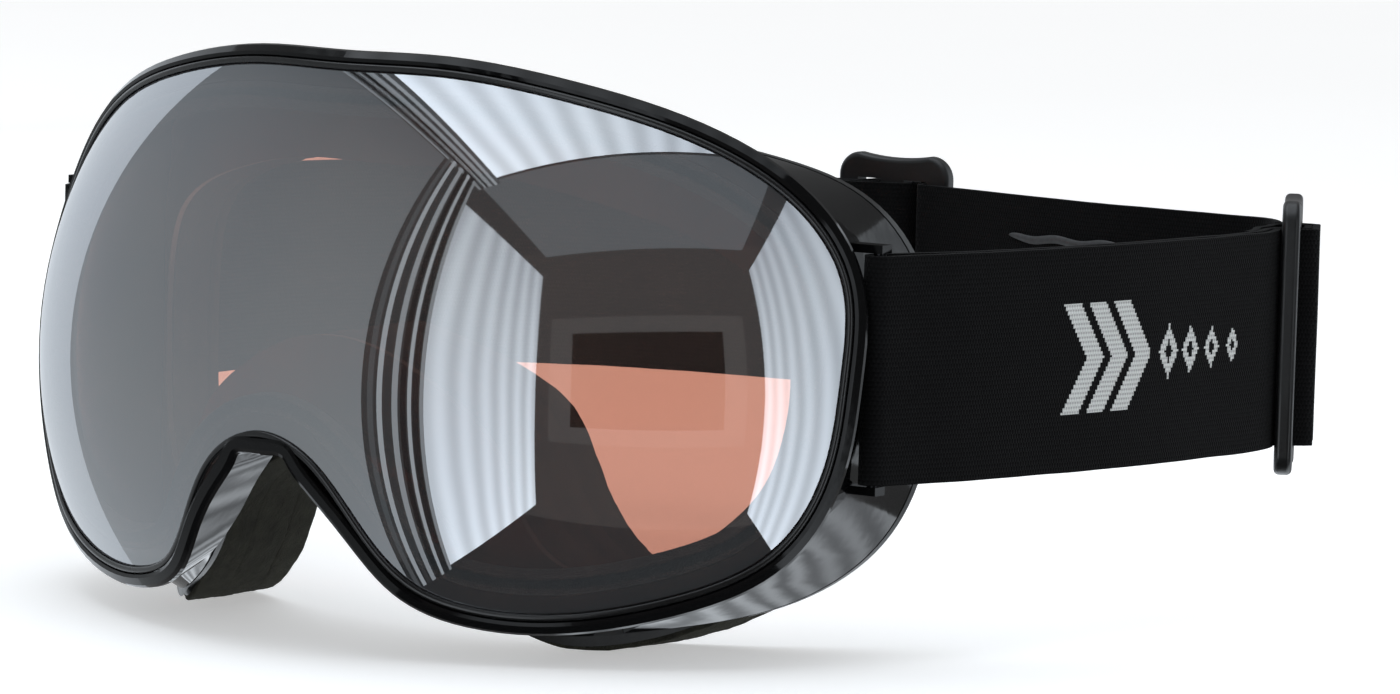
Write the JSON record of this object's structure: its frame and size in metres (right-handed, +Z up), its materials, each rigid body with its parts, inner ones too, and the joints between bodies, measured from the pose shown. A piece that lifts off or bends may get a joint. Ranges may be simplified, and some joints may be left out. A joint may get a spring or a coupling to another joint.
{
  "type": "ski goggles",
  "caption": "Ski goggles with one wide curved mirrored lens, a padded face frame and a stretch webbing strap with slide adjusters.",
  "frame": {"origin": "middle of the face contact, on the centre plane of the strap", "axes": "+X to the wearer's left, +Y backwards into the face, +Z up"},
  "size_m": [0.2141, 0.1987, 0.1034],
  "materials": {
    "lens_mirror": "silver mirror coating over an orange tint",
    "lens_clear": "clear polished",
    "spacer_foam": "matt closed-cell foam",
    "frame_gloss": "polished black",
    "bead_rubber": "satin",
    "carrier_plastic": "satin",
    "foam_base": "open-cell foam",
    "foam_middle": "open-cell foam",
    "fleece": "brushed fleece",
    "vent_foam": "open-cell foam",
    "webbing": "woven elastic, black",
    "thread": "black thread",
    "grip_rubber": "soft silicone",
    "adjuster_plastic": "moulded black",
    "anchor_plastic": "polished black",
    "bar_steel": "plain steel"
  },
  "bodies": {
    "goggles": {"outer_lens": "lens_mirror", "inner_lens": "lens_clear", "lens_spacer": "spacer_foam", "rim_band": "frame_gloss", "rim_bead": "bead_rubber", "frame_wall": "frame_gloss", "foam_flange": "carrier_plastic", "foam_base": "foam_base", "foam_middle": "foam_middle", "face_fleece": "fleece", "top_vent_foam": "vent_foam", "low_vent_foam": "vent_foam", "webbing_side_left": "webbing", "webbing_pass_left": "webbing", "webbing_back": "webbing", "webbing_pass_right": "webbing", "webbing_side_right": "webbing", "webbing_tail_left": "webbing", "webbing_tail_right": "webbing", "grip_lines": "grip_rubber", "anchor_left": "anchor_plastic", "anchor_right": "anchor_plastic", "anchor_bars": "bar_steel"},
    "adjuster_left": {"slider_left": "adjuster_plastic", "webbing_loop_left": "webbing", "stitching_left": "thread"},
    "adjuster_right": {"slider_right": "adjuster_plastic", "webbing_loop_right": "webbing", "stitching_right": "thread"}
  },
  "joints": [
    {"name": "adjuster_left_slide", "type": "slide", "parent": "goggles", "child": "adjuster_left", "axis": [-0.4525, 0.8918, 0], "range_m": [-0.005, 0.005], "deforming": ["webbing_pass_left", "webbing_tail_left"]},
    {"name": "adjuster_right_slide", "type": "slide", "parent": "goggles", "child": "adjuster_right", "axis": [-1, -0.0098, 0], "range_m": [-0.012, 0.012], "deforming": ["webbing_pass_right", "webbing_tail_right"]}
  ]
}
